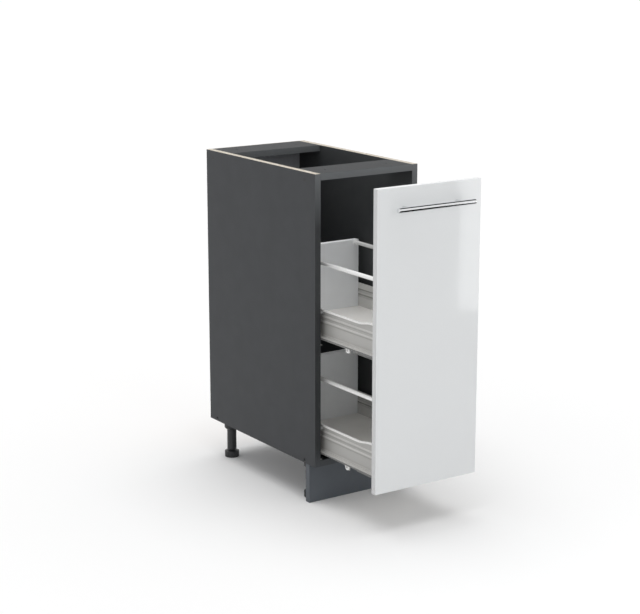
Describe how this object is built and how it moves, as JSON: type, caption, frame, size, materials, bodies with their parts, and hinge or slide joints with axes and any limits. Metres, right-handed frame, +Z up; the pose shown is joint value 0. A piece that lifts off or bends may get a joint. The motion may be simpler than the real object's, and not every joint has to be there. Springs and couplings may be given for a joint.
{
  "type": "pull out larder unit",
  "caption": "Narrow kitchen base unit with a plinth on screw feet. One full-height front with a bar handle pulls out railed, metal-sided drawers on roller runners.",
  "frame": {"origin": "middle of the plinth board's underside, on the floor", "axes": "+Z up, +X to the right as seen from the front, -Y to the front, so the pull out opens along -Y"},
  "size_m": [0.3, 0.778, 0.82],
  "materials": {
    "anthracite_board": "chipboard faced with anthracite melamine, satin, raw cream edges at the top",
    "white_gloss_board": "fibreboard with a white high gloss face and edges",
    "light_grey_board": "chipboard faced with light grey melamine, satin",
    "hardboard": "thin hardboard, grey print on the inside, raw brown outside",
    "beech": "raw beech",
    "grey_coated_steel": "sheet steel with a light grey powder coat",
    "zinc_plated_steel": "steel with a bright zinc plating",
    "polished_steel": "polished steel",
    "white_nylon": "white nylon",
    "black_plastic": "black polypropylene, fine grain",
    "anthracite_plastic": "anthracite plastic, matt"
  },
  "bodies": {
    "carcass": {"side_panel_left": "anthracite_board", "side_panel_right": "anthracite_board", "bottom_panel": "anthracite_board", "front_rail": "anthracite_board", "rear_rail": "anthracite_board", "back_panel": "hardboard", "rail_dowels": "beech", "rail_cams": "zinc_plated_steel", "cam_bolts": "zinc_plated_steel", "confirmat_screws": "zinc_plated_steel", "linking_hole_caps": "anthracite_plastic", "back_panel_pins": "zinc_plated_steel", "plinth": "anthracite_board", "plinth_clips": "black_plastic", "plinth_clip_screws": "zinc_plated_steel", "leg_front_left": "black_plastic", "leg_front_right": "black_plastic", "leg_rear_left": "black_plastic", "leg_rear_right": "black_plastic", "cabinet_runner_upper_left": "grey_coated_steel", "cabinet_runner_upper_right": "grey_coated_steel", "cabinet_runner_lower_left": "grey_coated_steel", "cabinet_runner_lower_right": "grey_coated_steel", "runner_screws": "zinc_plated_steel", "guide_buttons": "white_nylon"},
    "pull_out": {"front_panel": "white_gloss_board", "handle_bar": "polished_steel", "handle_posts": "polished_steel", "handle_screws": "zinc_plated_steel", "front_buffers": "white_nylon", "drawer_wall_upper_left": "grey_coated_steel", "drawer_wall_upper_right": "grey_coated_steel", "drawer_wall_lower_left": "grey_coated_steel", "drawer_wall_lower_right": "grey_coated_steel", "drawer_runners": "grey_coated_steel", "drawer_base_upper": "light_grey_board", "drawer_base_lower": "light_grey_board", "drawer_back_upper": "light_grey_board", "drawer_back_lower": "light_grey_board", "railings": "grey_coated_steel", "railing_sockets": "grey_coated_steel", "front_brackets": "zinc_plated_steel", "back_brackets": "zinc_plated_steel", "drawer_screws": "zinc_plated_steel"},
    "middle_runners": {"middle_runner_upper_left": "grey_coated_steel", "middle_runner_upper_right": "grey_coated_steel", "middle_runner_lower_left": "grey_coated_steel", "middle_runner_lower_right": "grey_coated_steel"},
    "cabinet_rollers_upper": {"cabinet_rollers_upper": "white_nylon"},
    "cabinet_rollers_lower": {"cabinet_rollers_lower": "white_nylon"},
    "middle_front_rollers_upper": {"middle_front_rollers_upper": "white_nylon"},
    "middle_front_rollers_lower": {"middle_front_rollers_lower": "white_nylon"},
    "middle_rear_rollers_upper": {"middle_rear_rollers_upper": "white_nylon"},
    "middle_rear_rollers_lower": {"middle_rear_rollers_lower": "white_nylon"},
    "drawer_rollers_upper": {"drawer_rollers_upper": "white_nylon"},
    "drawer_rollers_lower": {"drawer_rollers_lower": "white_nylon"},
    "foot_front_left": {"foot_front_left": "black_plastic"},
    "foot_front_right": {"foot_front_right": "black_plastic"},
    "foot_rear_left": {"foot_rear_left": "black_plastic"},
    "foot_rear_right": {"foot_rear_right": "black_plastic"}
  },
  "joints": [
    {"name": "pull_out_slide", "type": "slide", "parent": "carcass", "child": "pull_out", "axis": [0, -1, 0], "range_m": [-0.228, 0.22]},
    {"name": "middle_runner_slide", "type": "slide", "parent": "carcass", "child": "middle_runners", "axis": [0, -1, 0], "range_m": [-0.114, 0.11]},
    {"name": "cabinet_rollers_upper_spin", "type": "hinge", "parent": "carcass", "child": "cabinet_rollers_upper", "pos_m": [0, -0.014, 0.4136], "axis": [1, 0, 0], "continuous": true},
    {"name": "cabinet_rollers_lower_spin", "type": "hinge", "parent": "carcass", "child": "cabinet_rollers_lower", "pos_m": [0, -0.014, 0.1256], "axis": [1, 0, 0], "continuous": true},
    {"name": "middle_front_rollers_upper_spin", "type": "hinge", "parent": "middle_runners", "child": "middle_front_rollers_upper", "pos_m": [0, -0.144, 0.4156], "axis": [1, 0, 0], "continuous": true},
    {"name": "middle_front_rollers_lower_spin", "type": "hinge", "parent": "middle_runners", "child": "middle_front_rollers_lower", "pos_m": [0, -0.144, 0.1276], "axis": [1, 0, 0], "continuous": true},
    {"name": "middle_rear_rollers_upper_spin", "type": "hinge", "parent": "middle_runners", "child": "middle_rear_rollers_upper", "pos_m": [0, 0.287, 0.411], "axis": [1, 0, 0], "continuous": true},
    {"name": "middle_rear_rollers_lower_spin", "type": "hinge", "parent": "middle_runners", "child": "middle_rear_rollers_lower", "pos_m": [0, 0.287, 0.123], "axis": [1, 0, 0], "continuous": true},
    {"name": "drawer_rollers_upper_spin", "type": "hinge", "parent": "pull_out", "child": "drawer_rollers_upper", "pos_m": [0, 0.172, 0.4136], "axis": [1, 0, 0], "continuous": true},
    {"name": "drawer_rollers_lower_spin", "type": "hinge", "parent": "pull_out", "child": "drawer_rollers_lower", "pos_m": [0, 0.172, 0.1256], "axis": [1, 0, 0], "continuous": true},
    {"name": "foot_front_left_screw", "type": "slide", "parent": "carcass", "child": "foot_front_left", "axis": [0, 0, -1], "range_m": [-0.003, 0.02]},
    {"name": "foot_front_right_screw", "type": "slide", "parent": "carcass", "child": "foot_front_right", "axis": [0, 0, -1], "range_m": [-0.003, 0.02]},
    {"name": "foot_rear_left_screw", "type": "slide", "parent": "carcass", "child": "foot_rear_left", "axis": [0, 0, -1], "range_m": [-0.003, 0.02]},
    {"name": "foot_rear_right_screw", "type": "slide", "parent": "carcass", "child": "foot_rear_right", "axis": [0, 0, -1], "range_m": [-0.003, 0.02]}
  ],
  "couplings": [
    {"joint": "middle_runner_slide", "follows": "pull_out_slide", "ratio": 0.5},
    {"joint": "cabinet_rollers_upper_spin", "follows": "pull_out_slide", "rad_per_m": 71.429},
    {"joint": "cabinet_rollers_lower_spin", "follows": "pull_out_slide", "rad_per_m": 71.429},
    {"joint": "middle_front_rollers_upper_spin", "follows": "pull_out_slide", "rad_per_m": 71.429},
    {"joint": "middle_front_rollers_lower_spin", "follows": "pull_out_slide", "rad_per_m": 71.429},
    {"joint": "middle_rear_rollers_upper_spin", "follows": "pull_out_slide", "rad_per_m": -92.593},
    {"joint": "middle_rear_rollers_lower_spin", "follows": "pull_out_slide", "rad_per_m": -92.593},
    {"joint": "drawer_rollers_upper_spin", "follows": "pull_out_slide", "rad_per_m": -71.429},
    {"joint": "drawer_rollers_lower_spin", "follows": "pull_out_slide", "rad_per_m": -71.429}
  ]
}
